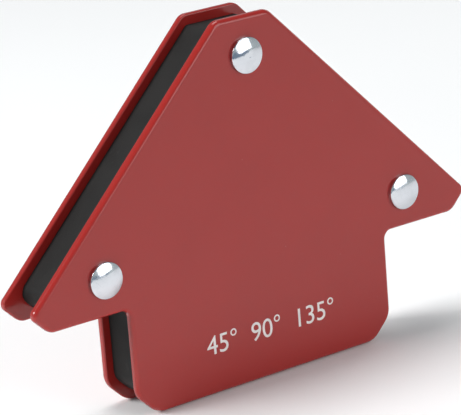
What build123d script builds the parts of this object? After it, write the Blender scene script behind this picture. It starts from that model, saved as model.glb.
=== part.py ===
"""Arrow-shaped magnetic welding holder.

Two punched steel pole plates are riveted over a moulded core that holds five ferrite block magnets.
Millimetres. +X points right, +Z up, and the front plate faces -Y. The origin is the middle of the
base, halfway between the two plates.
"""

from build123d import *
from math import acos, degrees
import os

# Plate outline: half sizes to the right of the middle line, between sharp corners
base_half = 30.5  # flat edge of the base
body_half = 35.5  # body below the wings
shoulder_z = 25.0  # underside of the wings
tip_half = 60.2  # outermost corner of a wing
tip_chamfer = 4.5  # 45 degree cut under each wing tip
top_half = 7.2  # flat edge at the top
base_corner_r = 4.8  # rounding where the base chamfer starts and ends
shoulder_r = 1.9  # inner corner between body and wing
wing_corner_r = 3.4  # corner between shoulder and tip chamfer
tip_r = 1.8  # square corner at the wing tip
top_corner_r = 3.0  # corner between slope and top edge

# Plates
plate_t = 2.0
gap = 10.0  # between the plates
outer_edge_r = 1.05  # rolled edge left by the punch on the outer face
inner_edge_r = 0.45

# Rivets and sleeves
rivet_top_z = 73.8
rivet_wing_x = 41.2
rivet_wing_z = 33.3
shank_r = 2.0
rivet_hole_r = 2.05
head_r = 4.1
head_rim_h = 0.25  # straight side of the head
head_rim_r = 0.8  # round between the rim and the dome
head_rim_turn = 60  # degrees that the round turns through, up to the dome
head_h = 1.6
dimple_r = 0.55
dimple_depth = 0.05
sleeve_r = 3.5
sleeve_bore_r = 2.1

# Core, set back from the plate outline
core_inset = 2.1  # base, shoulders and slopes
core_side_inset = 2.0
core_top_inset = 2.4
core_tip_inset = 4.1
core_base_chamfer_inset = 2.3
core_corner_r = 4.0
core_wing_r = 2.0
core_tip_r = 3.0
core_top_r = 1.0
core_wall = 2.4  # from a pocket to the core's edge
window_wall = 4.5  # round the three-cornered openings beside the centre block
window_corner_r = 1.5
pocket_play = 0.2  # round each magnet
pocket_corner_r = 0.15
sleeve_play = 0.05

# Ferrite blocks, length by width, all as thick as the gap
slope_magnet = (40.0, 15.0)
base_magnet = (25.0, 20.0)
centre_magnet = (20.0, 20.0)
slope_magnet_drop = 2.0  # down the slope from halfway between two rivets
centre_rib = 2.4  # between the base blocks, and between them and the centre block
magnet_edge = 0.3  # ground edge of a block

# Worked out from the sizes above
ROOT2 = 2**0.5
face_y = gap / 2 + plate_t  # outer face of either plate
head_top = face_y + head_h
dimple_ball_r = (dimple_r**2 + dimple_depth**2) / (2 * dimple_depth)
base_chamfer = body_half - base_half
tip_z = shoulder_z + tip_chamfer
height = tip_z + tip_half - top_half  # the slopes rise at 45 degrees
slope_sum = tip_half + tip_z  # x + z anywhere along the right slope
rivet_spots = {
    "top": (0.0, rivet_top_z),
    "left": (-rivet_wing_x, rivet_wing_z),
    "right": (rivet_wing_x, rivet_wing_z),
}
magnet_floor = core_inset + core_wall + pocket_play  # underside of the base blocks
base_magnet_x = centre_rib / 2 + pocket_play + base_magnet[0] / 2
base_magnet_z = magnet_floor + base_magnet[1] / 2
centre_magnet_z = (
    magnet_floor + base_magnet[1] + 2 * pocket_play + centre_rib + centre_magnet[1] / 2
)


def slope_magnet_centre():
    """Centre of the block along the right slope, from its places across and along the slope."""
    inset = core_inset + core_wall + pocket_play + slope_magnet[1] / 2
    across = slope_sum / ROOT2 - inset
    halfway = (rivet_wing_x - rivet_wing_z - rivet_top_z) / 2 / ROOT2
    along = halfway + slope_magnet_drop
    return (across + along) / ROOT2, (across - along) / ROOT2


slope_magnet_x, slope_magnet_z = slope_magnet_centre()
magnet_spots = {
    "magnet_base_left": (-base_magnet_x, base_magnet_z, 0, base_magnet),
    "magnet_base_right": (base_magnet_x, base_magnet_z, 0, base_magnet),
    "magnet_centre": (0, centre_magnet_z, 0, centre_magnet),
    "magnet_left_slope": (-slope_magnet_x, slope_magnet_z, 45, slope_magnet),
    "magnet_right_slope": (slope_magnet_x, slope_magnet_z, -45, slope_magnet),
}

# The front view: local x is X, local y is Z, and its normal points to the front, -Y
FRONT_VIEW = Plane.XZ


def both_sides(right_half):
    """A closed outline from the points of its right half, listed from the base up."""
    left_half = [(-x, z) for x, z in reversed(right_half)]
    return right_half + left_half


def both_radii(right_radii):
    return right_radii + right_radii[::-1]


def plate_outline():
    points = both_sides(
        [
            (base_half, 0),
            (body_half, base_chamfer),
            (body_half, shoulder_z),
            (tip_half - tip_chamfer, shoulder_z),
            (tip_half, tip_z),
            (top_half, height),
        ]
    )
    radii = both_radii(
        [base_corner_r, base_corner_r, shoulder_r, wing_corner_r, tip_r, top_corner_r]
    )
    FilletPolyline(*points, radius=radii, close=True)


def core_outline():
    """The plate outline moved inwards, by more at the wing tips than elsewhere."""
    side = body_half - core_side_inset
    shoulder = shoulder_z + core_inset
    top = height - core_top_inset
    slope = slope_sum - core_inset * ROOT2  # x + z along the core's slope
    base_cut = base_half - core_base_chamfer_inset * ROOT2  # x - z along the base chamfer
    tip_cut = tip_half - tip_z - core_tip_inset * ROOT2  # x - z along the tip chamfer
    points = both_sides(
        [
            (base_cut + core_inset, core_inset),
            (side, side - base_cut),
            (side, shoulder),
            (tip_cut + shoulder, shoulder),
            ((slope + tip_cut) / 2, (slope - tip_cut) / 2),
            (slope - top, top),
        ]
    )
    radii = both_radii(
        [core_corner_r, core_corner_r, shoulder_r, core_wing_r, core_tip_r, core_top_r]
    )
    FilletPolyline(*points, radius=radii, close=True)


def make_plate(name, start, outwards):
    """A pole plate from its inner face at Y = start, growing towards outwards (-1 is the front)."""
    with BuildPart() as plate:
        with BuildSketch(FRONT_VIEW.offset(-start)):
            with BuildLine():
                plate_outline()
            make_face()
            with Locations(*rivet_spots.values()):
                Circle(rivet_hole_r, mode=Mode.SUBTRACT)
        extrude(amount=-outwards * plate_t)
        outer = plate.faces().sort_by(Axis.Y)[0 if outwards < 0 else -1]
        fillet(outer.outer_wire().edges(), radius=outer_edge_r)
        inner = plate.faces().sort_by(Axis.Y)[-1 if outwards < 0 else 0]
        fillet(inner.outer_wire().edges(), radius=inner_edge_r)
    save(plate, name)


def make_core():
    with BuildPart() as core:
        with BuildSketch(FRONT_VIEW):
            with BuildLine():
                core_outline()
            make_face()
            for x, z, angle, (length, width) in magnet_spots.values():
                with Locations(Location((x, z, 0), (0, 0, angle))):
                    RectangleRounded(
                        length + 2 * pocket_play,
                        width + 2 * pocket_play,
                        pocket_corner_r,
                        mode=Mode.SUBTRACT,
                    )
            with Locations(*rivet_spots.values()):
                Circle(sleeve_r + sleeve_play, mode=Mode.SUBTRACT)
            for side in (-1, 1):
                with BuildLine():
                    window_outline(side)
                make_face(mode=Mode.SUBTRACT)
        extrude(amount=gap / 2, both=True)
    save(core, "core_frame")


def window_outline(side):
    """Three-cornered opening beside the centre block, which keeps the moulding's walls even."""
    near = centre_magnet[0] / 2 + pocket_play + window_wall
    low = base_magnet_z + base_magnet[1] / 2 + pocket_play + window_wall
    slope_pocket = core_inset + core_wall + 2 * pocket_play + slope_magnet[1]
    reach = slope_sum - (slope_pocket + window_wall) * ROOT2  # x + z along the long side
    corners = [(side * near, low), (side * (reach - low), low), (side * near, reach - near)]
    FilletPolyline(*corners, radius=window_corner_r, close=True)


def make_magnet(name, x, z, angle, length, width):
    """A plain ferrite block between the plates, turned by angle in the front view."""
    with BuildPart() as block:
        with BuildSketch(FRONT_VIEW):
            with Locations(Location((x, z, 0), (0, 0, angle))):
                Rectangle(length, width)
        extrude(amount=gap / 2, both=True)
        chamfer(block.edges().filter_by(Axis.Y), length=magnet_edge)
    save(block, name)


def rivet_profile():
    """Half of a rivet seen from the side: local x is the radius, local y runs along the axis."""
    rim_y = face_y + head_rim_h
    rim = CenterArc((head_r - head_rim_r, rim_y), head_rim_r, 0, head_rim_turn)
    dome_sag = head_top - (rim @ 1).Y
    dome_r = ((rim @ 1).X ** 2 + dome_sag**2) / (2 * dome_sag)
    rise = degrees(acos((rim @ 1).X / dome_r))
    CenterArc((0, head_top - dome_r), dome_r, rise, 90 - rise)
    Polyline(
        (0, head_top),
        (0, 0),
        (shank_r, 0),
        (shank_r, face_y),
        (head_r, face_y),
        (head_r, rim_y),
    )


def make_rivet(name, x, z):
    """A solid rivet along Y with the same low domed head, dimpled by the rivet set, at either end."""
    side_view = Plane(origin=(x, 0, z), x_dir=(1, 0, 0), z_dir=(0, 0, 1))
    with BuildPart() as rivet:
        with BuildSketch(side_view):
            with BuildLine():
                rivet_profile()
            make_face()
        revolve(axis=Axis((x, 0, z), (0, 1, 0)))
        with Locations((x, head_top - dimple_depth + dimple_ball_r, z)):
            Sphere(dimple_ball_r, mode=Mode.SUBTRACT)
        mirror(about=Plane.XZ)
    save(rivet, name)


def make_sleeve(name, x, z):
    with BuildPart() as sleeve:
        with BuildSketch(FRONT_VIEW):
            with Locations((x, z)):
                Circle(sleeve_r)
                Circle(sleeve_bore_r, mode=Mode.SUBTRACT)
        extrude(amount=gap / 2, both=True)
    save(sleeve, name)


def save(builder, name):
    builder.part.label = name
    export_step(builder.part, f"parts/{name}.step")


os.makedirs("parts", exist_ok=True)
make_plate("front_plate", -gap / 2, -1)
make_plate("rear_plate", gap / 2, 1)
make_core()
for name, (x, z, angle, (length, width)) in magnet_spots.items():
    make_magnet(name, x, z, angle, length, width)
for place, (x, z) in rivet_spots.items():
    make_rivet(f"rivet_{place}", x, z)
    make_sleeve(f"sleeve_{place}", x, z)
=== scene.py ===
"""Looks of an arrow-shaped magnetic welding holder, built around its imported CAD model.

Two painted steel plates are riveted over a black moulded core. All sizes are metres; +X points
right, +Z up, and the front plate faces -Y.
"""

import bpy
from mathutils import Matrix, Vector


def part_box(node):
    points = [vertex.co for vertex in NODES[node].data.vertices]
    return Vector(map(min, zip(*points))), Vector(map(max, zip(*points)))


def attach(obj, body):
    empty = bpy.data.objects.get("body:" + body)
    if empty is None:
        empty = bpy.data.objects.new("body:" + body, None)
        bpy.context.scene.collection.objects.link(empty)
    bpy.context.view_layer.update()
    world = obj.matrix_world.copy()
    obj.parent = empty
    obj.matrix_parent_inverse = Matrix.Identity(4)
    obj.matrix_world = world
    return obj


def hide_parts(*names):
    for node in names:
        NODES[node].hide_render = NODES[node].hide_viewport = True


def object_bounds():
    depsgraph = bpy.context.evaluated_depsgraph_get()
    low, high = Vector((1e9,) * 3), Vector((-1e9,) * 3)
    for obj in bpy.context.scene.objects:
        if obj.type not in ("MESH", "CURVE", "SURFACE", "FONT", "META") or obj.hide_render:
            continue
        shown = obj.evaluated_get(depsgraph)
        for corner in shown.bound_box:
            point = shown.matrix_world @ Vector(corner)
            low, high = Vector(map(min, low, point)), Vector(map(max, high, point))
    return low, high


bl_info = {
    "name": "Magnetic Welding Holder",
    "version": (1, 0, 0),
    "blender": (4, 5, 0),
    "location": "3D View > Sidebar > Holder",
    "description": "Painted plates, core, rivets, marking and studio for a magnetic welding holder",
    "category": "Object",
}

from math import asin, atan2, cos, pi, radians, sin, tan

import bmesh
import bpy
from bpy.props import FloatProperty, FloatVectorProperty, PointerProperty, StringProperty
from mathutils import Euler, Matrix, Vector

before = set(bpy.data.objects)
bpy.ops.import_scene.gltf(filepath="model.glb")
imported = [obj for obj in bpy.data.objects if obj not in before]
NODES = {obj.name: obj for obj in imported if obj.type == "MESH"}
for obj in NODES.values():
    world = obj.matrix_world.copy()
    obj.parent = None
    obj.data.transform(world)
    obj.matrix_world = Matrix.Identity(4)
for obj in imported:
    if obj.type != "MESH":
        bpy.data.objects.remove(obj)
CAD_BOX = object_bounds()

BODY = "root"
RIVET_PLACES = ("top", "left", "right")
MAGNETS = ("base_left", "base_right", "centre", "left_slope", "right_slope")
BEND_STEPS = 14  # faces round a quarter turn of the outline
EDGE_STEPS = 8  # faces round the broken inner edge
ROLL_STEPS = 16  # faces round the rolled outer edge
HEAD_SEGMENTS = 128  # round a rivet head
RIM_STEPS = 12  # faces across the round between a head's rim and its dome
DOME_STEPS = 40  # faces from there to the middle of the dome
RIM_TURN = 68.0  # degrees that the rim's round turns through, which meets the dome smoothly
SHARP_TURN = 35.0  # degrees between two faces of a rivet that meet in a sharp edge
LETTER_SIZE = 0.006  # of the marking, before it is fitted to its width
FLOOR_GAP = 0.0002  # between the floor and the holder's base


# ---------------------------------------------------------------- sizes and colours


def size_prop(name, value, description):
    return FloatProperty(
        name=name,
        description=description,
        default=value,
        min=0.0,
        unit="LENGTH",
        subtype="DISTANCE",
        precision=5,
    )


def colour_prop(name, value, description):
    return FloatVectorProperty(
        name=name,
        description=description,
        default=value,
        min=0.0,
        max=1.0,
        size=3,
        subtype="COLOR",
    )


class HolderSizes(bpy.types.PropertyGroup):
    """Outline of the plates, as half sizes to the right of the middle, and their edges."""

    base_half: size_prop("Base", 0.0305, "Half the flat edge of the base")
    body_half: size_prop("Body", 0.0355, "Half width of the body under the wings")
    shoulder: size_prop("Shoulder", 0.025, "Height of the underside of the wings")
    tip_half: size_prop("Wing tip", 0.0602, "Half span between the sharp wing tips")
    tip_cut: size_prop("Tip chamfer", 0.0045, "Width of the chamfer under a wing tip")
    top_half: size_prop("Top", 0.0072, "Half the flat edge at the top")
    base_round: size_prop("Base corners", 0.0048, "Rounding at both ends of a base chamfer")
    shoulder_round: size_prop("Inner corner", 0.0019, "Rounding between body and wing")
    wing_round: size_prop("Wing corner", 0.0034, "Rounding between shoulder and tip chamfer")
    tip_round: size_prop("Tip corner", 0.0018, "Rounding of the wing tip")
    top_round: size_prop("Top corners", 0.003, "Rounding between slope and top edge")
    outer_edge: size_prop("Outer edge", 0.00105, "Rolled edge of a plate's outer face")
    inner_edge: size_prop("Inner edge", 0.00045, "Broken edge of a plate's inner face")
    hole: size_prop("Rivet hole", 0.00205, "Radius of a rivet hole")
    head_rim: size_prop("Head rim", 0.00055, "Straight side of a rivet head")
    head_edge: size_prop("Head edge", 0.00035, "Round between the rim and the dome")
    dimple: size_prop("Dimple", 0.00055, "Radius of the mark left by the rivet set")
    dimple_depth: size_prop("Dimple depth", 0.00005, "Depth of that mark")
    shank: size_prop("Shank", 0.002, "Radius of a rivet's shank")


class HolderColours(bpy.types.PropertyGroup):
    """Colours of the finishes, in linear values."""

    paint: colour_prop("Paint", (0.335, 0.0185, 0.0150), "Red enamel of the plates")
    core: colour_prop("Core", (0.0100, 0.0096, 0.0092), "Black moulding between the plates")
    rivet: colour_prop("Rivets", (0.72, 0.74, 0.78), "Bright plated steel")
    ink: colour_prop("Marking", (0.78, 0.74, 0.72), "Printed marking")
    ferrite: colour_prop("Magnets", (0.045, 0.045, 0.048), "Ground ferrite")
    sleeve: colour_prop("Sleeves", (0.72, 0.73, 0.74), "Cut aluminium tube")
    floor: colour_prop("Floor", (0.93, 0.93, 0.93), "Paper under the holder")


class HolderMarking(bpy.types.PropertyGroup):
    """The printed marking on the front plate."""

    words: StringProperty(
        name="Angles",
        description="Angles that the holder sets, as printed on its face",
        default="45°  90°  135°",
    )
    width: size_prop("Width", 0.0355, "Length of the printed line")
    left: FloatProperty(
        name="Left end",
        description="Where the printed line starts, from the middle",
        default=-0.0165,
        unit="LENGTH",
        subtype="DISTANCE",
    )
    base: size_prop("Height", 0.0093, "Foot of the printed line above the base")
    film: size_prop("Film", 0.00003, "Thickness of the ink")


# ---------------------------------------------------------------- shader groups


def socket(group, name, in_out, kind="NodeSocketFloat", default=None):
    made = group.interface.new_socket(name=name, in_out=in_out, socket_type=kind)
    if default is not None:
        made.default_value = default
    return made


def new_group(name, inputs, outputs):
    """An empty shader group with float inputs (name, default) and outputs (name, kind)."""
    group = bpy.data.node_groups.new(name, "ShaderNodeTree")
    for label, default in inputs:
        socket(group, label, "INPUT", default=default)
    for label, kind in outputs:
        socket(group, label, "OUTPUT", kind)
    start = group.nodes.new("NodeGroupInput")
    end = group.nodes.new("NodeGroupOutput")
    return group, start, end


def put(tree, kind, **values):
    """A node with its settings and its input values; _ stands for a space in an input's name."""
    node = tree.nodes.new(kind)
    for key, value in values.items():
        if hasattr(node, key):
            setattr(node, key, value)
        else:
            node.inputs[key.replace("_", " ")].default_value = value
    return node


def wire(tree, source, target):
    tree.links.new(source, target)


def math(tree, operation, first, second=None):
    """A Math node; first and second are sockets or numbers."""
    node = put(tree, "ShaderNodeMath", operation=operation)
    for index, value in enumerate((first, second)):
        if value is None:
            continue
        if isinstance(value, (int, float)):
            node.inputs[index].default_value = value
        else:
            wire(tree, value, node.inputs[index])
    return node.outputs[0]


def noise(tree, vector, scale, detail=2.0, rough=0.5, stretch=None):
    """A noise texture; scale is a socket or a number of features in a metre."""
    node = put(tree, "ShaderNodeTexNoise")
    node.inputs["Detail"].default_value = detail
    node.inputs["Roughness"].default_value = rough
    if stretch:
        mapping = put(tree, "ShaderNodeMapping")
        mapping.inputs["Scale"].default_value = stretch
        wire(tree, vector, mapping.inputs["Vector"])
        vector = mapping.outputs[0]
    wire(tree, vector, node.inputs["Vector"])
    if isinstance(scale, (int, float)):
        node.inputs["Scale"].default_value = scale
    else:
        wire(tree, scale, node.inputs["Scale"])
    return node.outputs["Fac"]


def ramp(tree, value, low, high):
    """Value mapped smoothly from low..high to 0..1."""
    node = put(tree, "ShaderNodeMapRange", interpolation_type="SMOOTHSTEP")
    node.inputs["From Min"].default_value = low
    node.inputs["From Max"].default_value = high
    wire(tree, value, node.inputs["Value"])
    return node.outputs["Result"]


def fine_grain():
    """Small even bumps over slow waves, as on sprayed paint or moulded plastic."""
    group, start, end = new_group(
        "Fine grain",
        [("Grain per metre", 900.0), ("Waves per metre", 90.0), ("Wave share", 0.5)],
        [("Height", "NodeSocketFloat"), ("Mask", "NodeSocketFloat")],
    )
    place = put(group, "ShaderNodeTexCoord").outputs["Object"]
    grain = noise(group, place, start.outputs["Grain per metre"], 3.0, 0.55)
    waves = noise(group, place, start.outputs["Waves per metre"], 2.0, 0.5)
    share = math(group, "MULTIPLY", waves, start.outputs["Wave share"])
    wire(group, math(group, "ADD", grain, share), end.inputs["Height"])
    wire(group, ramp(group, waves, 0.35, 0.65), end.inputs["Mask"])
    return group


def handling_marks():
    """Sparse fine scratches in two directions and small specks."""
    group, start, end = new_group(
        "Handling marks",
        [("Scratches per metre", 260.0), ("Specks per metre", 420.0)],
        [("Scratches", "NodeSocketFloat"), ("Specks", "NodeSocketFloat")],
    )
    place = put(group, "ShaderNodeTexCoord").outputs["Object"]
    lines = None
    for turn, stretch in ((0.6, (1.0, 1.0, 0.03)), (-0.9, (0.03, 1.0, 1.0))):
        turned = put(group, "ShaderNodeMapping")
        turned.inputs["Rotation"].default_value = (0.0, turn, 0.0)
        wire(group, place, turned.inputs["Vector"])
        streak = noise(
            group, turned.outputs[0], start.outputs["Scratches per metre"], 2.0, 0.5, stretch
        )
        thin = ramp(group, streak, 0.70, 0.74)
        lines = thin if lines is None else math(group, "MAXIMUM", lines, thin)
    cells = put(group, "ShaderNodeTexVoronoi")
    wire(group, place, cells.inputs["Vector"])
    wire(group, start.outputs["Specks per metre"], cells.inputs["Scale"])
    spot = math(group, "SUBTRACT", 1.0, ramp(group, cells.outputs["Distance"], 0.02, 0.10))
    rare = ramp(group, noise(group, place, 300.0, 1.0), 0.60, 0.66)
    wire(group, lines, end.inputs["Scratches"])
    wire(group, math(group, "MULTIPLY", spot, rare), end.inputs["Specks"])
    return group


def shared(maker):
    """The shader group that maker builds, built once."""
    title = maker.__name__.replace("_", " ").capitalize()
    return bpy.data.node_groups.get(title) or maker()


def place_group(tree, maker, **values):
    node = tree.nodes.new("ShaderNodeGroup")
    node.node_tree = shared(maker)
    for key, value in values.items():
        node.inputs[key.replace("_", " ")].default_value = value
    return node


# ---------------------------------------------------------------- materials


def new_material(name):
    material = bpy.data.materials.new(name)
    material.use_nodes = True
    tree = material.node_tree
    tree.nodes.clear()
    output = tree.nodes.new("ShaderNodeOutputMaterial")
    shader = tree.nodes.new("ShaderNodeBsdfPrincipled")
    wire(tree, shader.outputs[0], output.inputs["Surface"])
    return material, tree, shader


def mix_colour(tree, amount, first, second):
    """A Mix node of two colours; each is a socket or a linear colour."""
    node = put(tree, "ShaderNodeMix", data_type="RGBA")
    wire(tree, amount, node.inputs["Factor"])
    for label, value in (("A", first), ("B", second)):
        target = [s for s in node.inputs if s.name == label and s.type == "RGBA"][0]
        if isinstance(value, (tuple, list)):
            target.default_value = (*value[:3], 1.0)
        else:
            wire(tree, value, target)
    return [s for s in node.outputs if s.type == "RGBA"][0]


def set_bump(tree, shader, height, distance):
    bump = put(tree, "ShaderNodeBump")
    bump.inputs["Distance"].default_value = distance
    bump.inputs["Strength"].default_value = 1.0
    wire(tree, height, bump.inputs["Height"])
    wire(tree, bump.outputs["Normal"], shader.inputs["Normal"])


def spread(tree, mask, share, base):
    """base plus a share of the mask; base is a socket or a number."""
    node = put(tree, "ShaderNodeMath", operation="MULTIPLY_ADD")
    wire(tree, mask, node.inputs[0])
    node.inputs[1].default_value = share
    if isinstance(base, (int, float)):
        node.inputs[2].default_value = base
    else:
        wire(tree, base, node.inputs[2])
    return node.outputs[0]


def scaled(colour, factor):
    return tuple(min(1.0, c * factor) for c in colour)


def paint_material(colours):
    """Satin-gloss enamel over steel: faint orange peel, and brighter red on the rolled edges as a
    painted edge highlight.
    """
    material, tree, shader = new_material("Plate paint")
    paint = tuple(colours.paint)
    grain = place_group(tree, fine_grain, Grain_per_metre=750.0, Waves_per_metre=60.0)
    marks = place_group(tree, handling_marks, Scratches_per_metre=150.0)
    edge = put(tree, "ShaderNodeAttribute", attribute_name="edge").outputs["Fac"]
    body = mix_colour(tree, grain.outputs["Mask"], scaled(paint, 0.985), scaled(paint, 1.015))
    # Painted highlight: the paint is made a quarter brighter along the rolled edges, where they
    # catch the light.
    thin = mix_colour(tree, math(tree, "MULTIPLY", edge, 0.6), body, scaled(paint, 1.25))
    dusty = mix_colour(
        tree,
        math(tree, "MULTIPLY", marks.outputs["Specks"], 0.10),
        thin,
        (0.55, 0.40, 0.38),
    )
    wire(tree, dusty, shader.inputs["Base Color"])
    rough = spread(tree, grain.outputs["Mask"], 0.02, 0.16)
    wire(tree, rough, shader.inputs["Roughness"])
    shader.inputs["Coat Weight"].default_value = 0.12
    shader.inputs["Coat Roughness"].default_value = 0.05
    set_bump(tree, shader, grain.outputs["Height"], 0.000006)
    return material


def core_material(colours):
    """Matt black moulding with a fine grain and dusty, slightly paler patches."""
    material, tree, shader = new_material("Core moulding")
    core = tuple(colours.core)
    grain = place_group(tree, fine_grain, Grain_per_metre=2600.0, Waves_per_metre=140.0)
    marks = place_group(tree, handling_marks, Scratches_per_metre=420.0)
    body = mix_colour(tree, grain.outputs["Mask"], scaled(core, 0.8), scaled(core, 1.35))
    dusty = mix_colour(
        tree,
        math(tree, "MULTIPLY", marks.outputs["Scratches"], 0.25),
        body,
        scaled(core, 3.0),
    )
    wire(tree, dusty, shader.inputs["Base Color"])
    rough = spread(tree, grain.outputs["Mask"], 0.12, 0.62)
    wire(tree, rough, shader.inputs["Roughness"])
    shader.inputs["Specular IOR Level"].default_value = 0.24
    set_bump(tree, shader, grain.outputs["Height"], 0.00004)
    return material


def rivet_material(colours):
    """Bright plated steel, with a soft haze and hairline marks from the rivet set."""
    material, tree, shader = new_material("Rivet plating")
    steel = tuple(colours.rivet)
    grain = place_group(tree, fine_grain, Grain_per_metre=1800.0, Waves_per_metre=420.0)
    marks = place_group(tree, handling_marks, Scratches_per_metre=900.0)
    body = mix_colour(tree, grain.outputs["Mask"], steel, scaled(steel, 0.93))
    worn = mix_colour(
        tree,
        math(tree, "MULTIPLY", marks.outputs["Scratches"], 0.3),
        body,
        scaled(steel, 0.75),
    )
    wire(tree, worn, shader.inputs["Base Color"])
    shader.inputs["Metallic"].default_value = 1.0
    haze = spread(tree, grain.outputs["Mask"], 0.05, 0.10)
    scratched = spread(tree, marks.outputs["Scratches"], 0.15, haze)
    wire(tree, scratched, shader.inputs["Roughness"])
    set_bump(tree, shader, grain.outputs["Height"], 0.000010)
    return material


def ink_material(colours):
    """Pad-printed ink, slightly uneven in cover."""
    material, tree, shader = new_material("Marking ink")
    ink = tuple(colours.ink)
    grain = place_group(tree, fine_grain, Grain_per_metre=3200.0, Waves_per_metre=600.0)
    body = mix_colour(tree, grain.outputs["Mask"], scaled(ink, 0.94), scaled(ink, 1.03))
    wire(tree, body, shader.inputs["Base Color"])
    rough = spread(tree, grain.outputs["Mask"], 0.1, 0.40)
    wire(tree, rough, shader.inputs["Roughness"])
    set_bump(tree, shader, grain.outputs["Height"], 0.000004)
    return material


def ferrite_material(colours):
    """Ground ferrite: dark grey with straight grinding lines."""
    material, tree, shader = new_material("Ferrite")
    ferrite = tuple(colours.ferrite)
    place = put(tree, "ShaderNodeTexCoord").outputs["Object"]
    lines = noise(tree, place, 1500.0, 2.0, 0.6, (1.0, 1.0, 0.05))
    grain = place_group(tree, fine_grain, Grain_per_metre=3000.0)
    body = mix_colour(tree, lines, scaled(ferrite, 0.7), scaled(ferrite, 1.5))
    wire(tree, body, shader.inputs["Base Color"])
    rough = spread(tree, lines, 0.2, 0.35)
    wire(tree, rough, shader.inputs["Roughness"])
    set_bump(tree, shader, grain.outputs["Height"], 0.00002)
    return material


def sleeve_material(colours):
    """Cut aluminium tube with drawing lines along its length."""
    material, tree, shader = new_material("Sleeve aluminium")
    sleeve = tuple(colours.sleeve)
    place = put(tree, "ShaderNodeTexCoord").outputs["Object"]
    lines = noise(tree, place, 2500.0, 2.0, 0.6, (1.0, 0.04, 1.0))
    body = mix_colour(tree, lines, scaled(sleeve, 0.85), scaled(sleeve, 1.1))
    wire(tree, body, shader.inputs["Base Color"])
    shader.inputs["Metallic"].default_value = 1.0
    rough = spread(tree, lines, 0.15, 0.25)
    wire(tree, rough, shader.inputs["Roughness"])
    set_bump(tree, shader, lines, 0.00001)
    return material


def floor_material(colours):
    """Pale matt paper with a barely visible tooth."""
    material, tree, shader = new_material("Floor paper")
    grain = place_group(tree, fine_grain, Grain_per_metre=600.0, Waves_per_metre=4.0)
    pale = tuple(colours.floor)
    body = mix_colour(tree, grain.outputs["Mask"], scaled(pale, 0.99), pale)
    wire(tree, body, shader.inputs["Base Color"])
    shader.inputs["Roughness"].default_value = 0.9
    return material


def dress(piece, material):
    """Gives every face of a piece one material."""
    piece.data.materials.clear()
    piece.data.materials.append(material)


def dress_node(name, material):
    """Gives a carried-over CAD node a material on its own slots."""
    node = NODES[name]
    if not node.material_slots:
        node.data.materials.append(material)
    for slot in node.material_slots:
        slot.material = material


def adopt(piece, slot, *nodes):
    """Links a piece to the scene, rides it on the body and hides the CAD nodes that it replaces."""
    bpy.context.scene.collection.objects.link(piece)
    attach(piece, BODY)
    if nodes:
        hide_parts(*nodes)


# ---------------------------------------------------------------- plates


def plate_corners(sizes):
    """Sharp corners of the outline with their roundings, anticlockwise seen from the front."""
    base_cut = sizes.body_half - sizes.base_half
    tip_z = sizes.shoulder + sizes.tip_cut
    height = tip_z + sizes.tip_half - sizes.top_half
    right = [
        (sizes.base_half, 0.0, sizes.base_round),
        (sizes.body_half, base_cut, sizes.base_round),
        (sizes.body_half, sizes.shoulder, sizes.shoulder_round),
        (sizes.tip_half - sizes.tip_cut, sizes.shoulder, sizes.wing_round),
        (sizes.tip_half, tip_z, sizes.tip_round),
        (sizes.top_half, height, sizes.top_round),
    ]
    left = [(-x, z, r) for x, z, r in reversed(right)]
    return right + left


def rounded_outline(corners):
    """Points along the rounded outline, each with its outward normal: (point, normal) pairs."""
    points = []
    for index, (x, z, radius) in enumerate(corners):
        here = Vector((x, z))
        before = Vector(corners[index - 1][:2])
        after = Vector(corners[(index + 1) % len(corners)][:2])
        arrive = (here - before).normalized()
        leave = (after - here).normalized()
        turn = atan2(arrive.x * leave.y - arrive.y * leave.x, arrive.dot(leave))
        side = 1.0 if turn > 0 else -1.0
        outward = Vector((arrive.y, -arrive.x))
        start = here - arrive * radius * tan(abs(turn) / 2)
        centre = start - outward * radius * side
        steps = max(2, round(BEND_STEPS * abs(turn) / (pi / 2)))
        for step in range(steps + 1):
            normal = Matrix.Rotation(turn * step / steps, 2) @ outward
            points.append((centre + normal * radius * side, normal))
    return points


def edge_sections(sizes, inner_y, outer_y):
    """Cross-section of a plate's rim from inner to outer face: (inset, y, out share, y share)."""
    facing = 1.0 if outer_y > inner_y else -1.0
    sections = []
    for step in range(EDGE_STEPS + 1):
        turn = pi / 2 * step / EDGE_STEPS
        inset = sizes.inner_edge * (1 - sin(turn))
        y = inner_y + facing * sizes.inner_edge * (1 - cos(turn))
        sections.append((inset, y, sin(turn), -facing * cos(turn)))
    for step in range(ROLL_STEPS + 1):
        turn = pi / 2 * step / ROLL_STEPS
        inset = sizes.outer_edge * (1 - cos(turn))
        y = outer_y - facing * sizes.outer_edge * (1 - sin(turn))
        sections.append((inset, y, cos(turn), facing * sin(turn)))
    return sections


def rivet_centres():
    boxes = [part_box(f"rivet_{place}") for place in RIVET_PLACES]
    return [((low[0] + high[0]) / 2, (low[2] + high[2]) / 2) for low, high in boxes]


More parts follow.
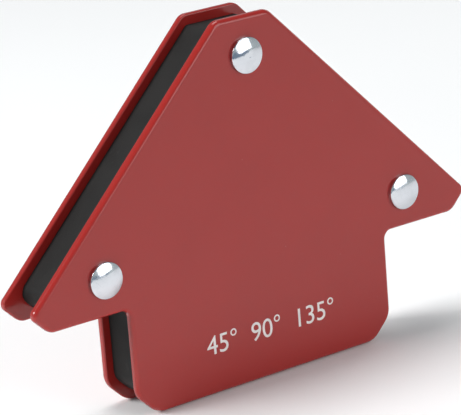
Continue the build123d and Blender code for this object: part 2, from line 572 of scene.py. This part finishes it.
def plate_mesh(name, sizes, inner_y, outer_y):
    """A plate with rolled edges and rivet holes, closed, with exact normals on every corner."""
    outline = rounded_outline(plate_corners(sizes))
    sections = edge_sections(sizes, inner_y, outer_y)
    facing = 1.0 if outer_y > inner_y else -1.0
    bm = bmesh.new()
    edge_layer = bm.verts.layers.float.new("edge")
    normals = {}
    rings = []
    for inset, y, out_share, y_share in sections:
        ring = []
        for point, normal in outline:
            spot = point - normal * inset
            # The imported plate's tips are faceted, so it reaches a hair less far than true rounds
            x = min(max(spot.x, CAD_BOX[0][0]), CAD_BOX[1][0])
            vert = bm.verts.new((x, y, spot.y))
            # Weight of the painted edge highlight, largest halfway round each rounded edge.
            vert[edge_layer] = 4 * (out_share * abs(y_share)) ** 2
            normals[vert] = Vector((normal.x * out_share, y_share, normal.y * out_share))
            ring.append(vert)
        rings.append(ring)
    for low, high in zip(rings, rings[1:]):
        for index, vert in enumerate(low):
            after = (index + 1) % len(low)
            quad = [vert, low[after], high[after], high[index]]
            bm.faces.new(quad if facing < 0 else quad[::-1])
    holes = {inner_y: [], outer_y: []}
    for x, z in rivet_centres():
        circles = []
        for y in (inner_y, outer_y):
            circle = []
            for step in range(HEAD_SEGMENTS // 2):
                turn = 4 * pi * step / HEAD_SEGMENTS
                spot = (x + sizes.hole * cos(turn), y, z + sizes.hole * sin(turn))
                vert = bm.verts.new(spot)
                normals[vert] = Vector((-cos(turn), 0.0, -sin(turn)))
                circle.append(vert)
            circles.append(circle)
            holes[y].append(circle)
        for index, vert in enumerate(circles[0]):
            after = (index + 1) % len(circles[0])
            quad = [vert, circles[0][after], circles[1][after], circles[1][index]]
            bm.faces.new(quad[::-1] if facing < 0 else quad)
    flats = {}
    for y, ring, way in ((inner_y, rings[0], -facing), (outer_y, rings[-1], facing)):
        edges = [
            bm.edges.get(pair)
            for loop in [ring] + holes[y]
            for pair in zip(loop, loop[1:] + loop[:1])
        ]
        made = bmesh.ops.triangle_fill(
            bm, use_beauty=True, use_dissolve=False, edges=edges, normal=(0.0, way, 0.0)
        )
        for face in made["geom"]:
            if isinstance(face, bmesh.types.BMFace):
                face.normal_update()
                if face.normal.y * way < 0:
                    face.normal_flip()
                flats[face] = Vector((0.0, way, 0.0))
    bm.faces.index_update()
    corner_normals = []
    for face in bm.faces:
        face.smooth = True
        for loop in face.loops:
            corner_normals.append(flats.get(face) or normals[loop.vert])
    mesh = bpy.data.meshes.new(name)
    bm.to_mesh(mesh)
    bm.free()
    mesh.normals_split_custom_set([n.normalized() for n in corner_normals])
    return mesh


# ---------------------------------------------------------------- rivets


def rivet_profile(sizes, face, top, head):
    """(radius, distance from the middle) along half a rivet, from shank to top of dome."""
    profile = [(sizes.shank, 0.0), (sizes.shank, face), (head, face)]
    rim_r, rim_y = head - sizes.head_edge, face + sizes.head_rim
    for step in range(RIM_STEPS + 1):
        turn = radians(RIM_TURN) * step / RIM_STEPS
        profile.append((rim_r + sizes.head_edge * cos(turn), rim_y + sizes.head_edge * sin(turn)))
    start_r, start_y = profile[-1]
    sag = top - start_y
    dome = (start_r**2 + sag**2) / (2 * sag)
    span = asin(start_r / dome)
    for step in range(1, DOME_STEPS + 1):
        turn = span * (1 - step / DOME_STEPS)
        radius = dome * sin(turn)
        y = top - dome * (1 - cos(turn))
        depth = sizes.dimple_depth * max(0.0, 1 - (radius / sizes.dimple) ** 2)
        profile.append((radius, y - depth))
    return profile


def rivet_mesh(name, sizes, x, z, face, top, head):
    """A rivet turned about the Y axis, with the same head at either end."""
    half = rivet_profile(sizes, face, top, head)
    profile = [(r, -y) for r, y in reversed(half)] + half[1:]
    bm = bmesh.new()
    rings = []
    for radius, y in profile:
        if radius < 1e-9:
            rings.append([bm.verts.new((x, y, z))])
            continue
        ring = []
        for step in range(HEAD_SEGMENTS):
            turn = 2 * pi * step / HEAD_SEGMENTS
            ring.append(bm.verts.new((x + radius * cos(turn), y, z + radius * sin(turn))))
        rings.append(ring)
    for low, high in zip(rings, rings[1:]):
        for step in range(HEAD_SEGMENTS):
            after = (step + 1) % HEAD_SEGMENTS
            if len(low) == 1:
                bm.faces.new((low[0], high[step], high[after]))
            elif len(high) == 1:
                bm.faces.new((low[step], high[0], low[after]))
            else:
                bm.faces.new((low[step], high[step], high[after], low[after]))
    bmesh.ops.recalc_face_normals(bm, faces=bm.faces)
    for face_made in bm.faces:
        face_made.smooth = True
    for edge in bm.edges:
        if edge.calc_face_angle(0.0) > radians(SHARP_TURN):
            edge.smooth = False
    mesh = bpy.data.meshes.new(name)
    bm.to_mesh(mesh)
    bm.free()
    return mesh


# ---------------------------------------------------------------- marking


def marking_mesh(name, marking, face_y):
    """The printed line as a thin film of letters just in front of the front plate."""
    words = bpy.data.curves.new(name + "_words", "FONT")
    words.body = marking.words
    words.size = LETTER_SIZE
    words.extrude = marking.film / 2
    carrier = bpy.data.objects.new(name + "_words", words)
    bpy.context.scene.collection.objects.link(carrier)
    bpy.context.view_layer.update()
    depsgraph = bpy.context.evaluated_depsgraph_get()
    mesh = bpy.data.meshes.new_from_object(carrier.evaluated_get(depsgraph))
    bpy.data.objects.remove(carrier)
    bpy.data.curves.remove(words)
    mesh.name = name
    low = min(v.co.x for v in mesh.vertices)
    high = max(v.co.x for v in mesh.vertices)
    scale = marking.width / (high - low)
    for vert in mesh.vertices:
        x, up, out = vert.co
        vert.co = (
            marking.left + (x - low) * scale,
            face_y - marking.film / 2 - out,
            marking.base + up * scale,
        )
    return mesh


# ---------------------------------------------------------------- studio

CAMERA_PLACE = (-0.34618, -0.48156, 0.21433)
CAMERA_TURN = 35.538  # degrees to the right of +Y
CAMERA_DIP = 16.540  # degrees below level
CAMERA_ROLL = -4.660  # degrees
LENS = 218.61  # millimetres on a 36 mm sensor


def add_camera():
    data = bpy.data.cameras.new("Camera")
    data.sensor_width = 36.0
    data.sensor_fit = "HORIZONTAL"
    data.lens = LENS
    data.clip_start = 0.01
    data.clip_end = 50.0
    camera = bpy.data.objects.new("Camera", data)
    bpy.context.scene.collection.objects.link(camera)
    aim = Euler((radians(90.0 - CAMERA_DIP), 0.0, -radians(CAMERA_TURN))).to_matrix()
    aim = aim @ Matrix.Rotation(radians(CAMERA_ROLL), 3, "Z")
    camera.matrix_world = Matrix.Translation(CAMERA_PLACE) @ aim.to_4x4()
    bpy.context.scene.camera = camera


def add_softbox(name, turn, rise, distance, width, height, radiance, roll=0.0):
    """A square-cornered light aimed at the holder's middle; turn is degrees right of the front."""
    middle = Vector((0.0, 0.0, (CAD_BOX[0][2] + CAD_BOX[1][2]) / 2))
    level = cos(radians(rise)) * distance
    place = middle + Vector(
        (level * sin(radians(turn)), -level * cos(radians(turn)), sin(radians(rise)) * distance)
    )
    data = bpy.data.lights.new(name, "AREA")
    data.shape = "RECTANGLE"
    data.size = width
    data.size_y = height
    data.energy = radiance * pi * width * height
    light = bpy.data.objects.new(name, data)
    light.visible_camera = False
    bpy.context.scene.collection.objects.link(light)
    aim = (middle - place).to_track_quat("-Z", "Y").to_matrix()
    aim = aim @ Matrix.Rotation(radians(roll), 3, "Z")
    light.matrix_world = Matrix.Translation(place) @ aim.to_4x4()


def add_world():
    """Soft room light, dark below the horizon and brightest just above it; white to the camera."""
    world = bpy.data.worlds.new("Studio")
    world.use_nodes = True
    tree = world.node_tree
    tree.nodes.clear()
    output = tree.nodes.new("ShaderNodeOutputWorld")
    place = put(tree, "ShaderNodeTexCoord")
    split = put(tree, "ShaderNodeSeparateXYZ")
    wire(tree, place.outputs["Generated"], split.inputs[0])
    overhead = ramp(tree, split.outputs["Z"], 0.0, 0.8)
    raised = math(tree, "ADD", split.outputs["Z"], ramp(tree, split.outputs["X"], 0.5, 0.8))
    above = mix_colour(tree, overhead, (0.47, 0.52, 0.53), (0.15, 0.16, 0.17))
    level = mix_colour(tree, ramp(tree, raised, -0.02, 0.05), (0.19, 0.25, 0.32), above)
    room = put(tree, "ShaderNodeBackground")
    wire(tree, level, room.inputs["Color"])
    seen = put(tree, "ShaderNodeBackground", Color=(1.0, 1.0, 1.0, 1.0), Strength=1.0)
    path = put(tree, "ShaderNodeLightPath")
    mix = put(tree, "ShaderNodeMixShader")
    wire(tree, path.outputs["Is Camera Ray"], mix.inputs[0])
    wire(tree, room.outputs[0], mix.inputs[1])
    wire(tree, seen.outputs[0], mix.inputs[2])
    wire(tree, mix.outputs[0], output.inputs["Surface"])
    bpy.context.scene.world = world


def add_floor(colours):
    """A wide pale table top, turned so that its near edge lies square to the camera's aim."""
    near, far, side = -0.26, 1.3, 1.4
    turn = Matrix.Rotation(-radians(CAMERA_TURN), 2)
    bm = bmesh.new()
    corners = ((-side, near), (side, near), (side, far), (-side, far))
    bm.faces.new([bm.verts.new((*(turn @ Vector(corner)), -FLOOR_GAP)) for corner in corners])
    mesh = bpy.data.meshes.new("Floor")
    bm.to_mesh(mesh)
    bm.free()
    floor = bpy.data.objects.new("Floor", mesh)
    bpy.context.scene.collection.objects.link(floor)
    dress(floor, floor_material(colours))


# ---------------------------------------------------------------- operators


class HOLDER_OT_plates(bpy.types.Operator):
    """Builds both painted plates in place of the plain ones"""

    bl_idname = "holder.plates"
    bl_label = "Painted plates"

    def execute(self, context):
        paint = paint_material(context.scene.holder_colours)
        for name, outer in (("front_plate", 0), ("rear_plate", 1)):
            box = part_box(name)
            mesh = plate_mesh(
                name + "_painted", context.scene.holder_sizes, box[1 - outer][1], box[outer][1]
            )
            piece = bpy.data.objects.new(name + "_painted", mesh)
            dress(piece, paint)
            adopt(piece, "plate_paint", name)
        return {"FINISHED"}


class HOLDER_OT_core(bpy.types.Operator):
    """Finishes the moulded core, the magnets and the spacer sleeves"""

    bl_idname = "holder.core"
    bl_label = "Core, magnets and sleeves"

    def execute(self, context):
        colours = context.scene.holder_colours
        dress_node("core_frame", core_material(colours))
        ferrite = ferrite_material(colours)
        for name in MAGNETS:
            dress_node(f"magnet_{name}", ferrite)
        sleeve = sleeve_material(colours)
        for place in RIVET_PLACES:
            dress_node(f"sleeve_{place}", sleeve)
        return {"FINISHED"}


class HOLDER_OT_rivets(bpy.types.Operator):
    """Builds the three domed rivets"""

    bl_idname = "holder.rivets"
    bl_label = "Rivets"

    def execute(self, context):
        steel = rivet_material(context.scene.holder_colours)
        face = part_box("rear_plate")[1][1]
        for place in RIVET_PLACES:
            low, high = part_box(f"rivet_{place}")
            x, z = (low[0] + high[0]) / 2, (low[2] + high[2]) / 2
            mesh = rivet_mesh(
                f"rivet_{place}_plated",
                context.scene.holder_sizes,
                x,
                z,
                face,
                high[1],
                (high[0] - low[0]) / 2,
            )
            piece = bpy.data.objects.new(mesh.name, mesh)
            dress(piece, steel)
            adopt(piece, "rivet_steel", f"rivet_{place}")
        return {"FINISHED"}


class HOLDER_OT_marking(bpy.types.Operator):
    """Prints the angle marking on the front plate"""

    bl_idname = "holder.marking"
    bl_label = "Angle marking"

    def execute(self, context):
        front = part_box("front_plate")[0][1]
        mesh = marking_mesh("angle_marking", context.scene.holder_marking, front)
        piece = bpy.data.objects.new("angle_marking", mesh)
        dress(piece, ink_material(context.scene.holder_colours))
        adopt(piece, "marking_ink")
        return {"FINISHED"}


class HOLDER_OT_studio(bpy.types.Operator):
    """Adds the floor, the lights and the camera"""

    bl_idname = "holder.studio"
    bl_label = "Studio"

    def execute(self, context):
        context.scene.view_settings.view_transform = "Standard"
        add_camera()
        add_world()
        add_floor(context.scene.holder_colours)
        add_softbox("Front softbox", 21.0, 20.0, 1.1, 0.74, 0.80, 2.6, roll=11.0)
        add_softbox("Left softbox", -108.0, 33.0, 1.0, 0.46, 0.36, 15.0)
        add_softbox("Top softbox", 165.0, 74.0, 1.0, 0.6, 0.6, 3.9)
        add_softbox("Right card", 118.0, 16.0, 1.0, 0.5, 0.5, 1.6)
        return {"FINISHED"}


class HOLDER_PT_panel(bpy.types.Panel):
    """Sidebar panel with the holder's steps, sizes and colours"""

    bl_idname = "HOLDER_PT_panel"
    bl_label = "Magnetic Welding Holder"
    bl_space_type = "VIEW_3D"
    bl_region_type = "UI"
    bl_category = "Holder"

    def draw(self, context):
        for operator in OPERATORS:
            self.layout.operator(operator.bl_idname)
        for group in (
            context.scene.holder_sizes,
            context.scene.holder_colours,
            context.scene.holder_marking,
        ):
            box = self.layout.box()
            for name in group.__annotations__:
                box.prop(group, name)


OPERATORS = (
    HOLDER_OT_studio,
    HOLDER_OT_plates,
    HOLDER_OT_core,
    HOLDER_OT_rivets,
    HOLDER_OT_marking,
)
CLASSES = (HolderSizes, HolderColours, HolderMarking, *OPERATORS, HOLDER_PT_panel)


def register():
    for item in CLASSES:
        bpy.utils.register_class(item)
    bpy.types.Scene.holder_sizes = PointerProperty(type=HolderSizes)
    bpy.types.Scene.holder_colours = PointerProperty(type=HolderColours)
    bpy.types.Scene.holder_marking = PointerProperty(type=HolderMarking)


def unregister():
    del bpy.types.Scene.holder_marking
    del bpy.types.Scene.holder_colours
    del bpy.types.Scene.holder_sizes
    for item in reversed(CLASSES):
        bpy.utils.unregister_class(item)


def main():
    register()
    bpy.ops.holder.studio()
    bpy.ops.holder.plates()
    bpy.ops.holder.core()
    bpy.ops.holder.rivets()
    bpy.ops.holder.marking()


if __name__ == "__main__":
    main()
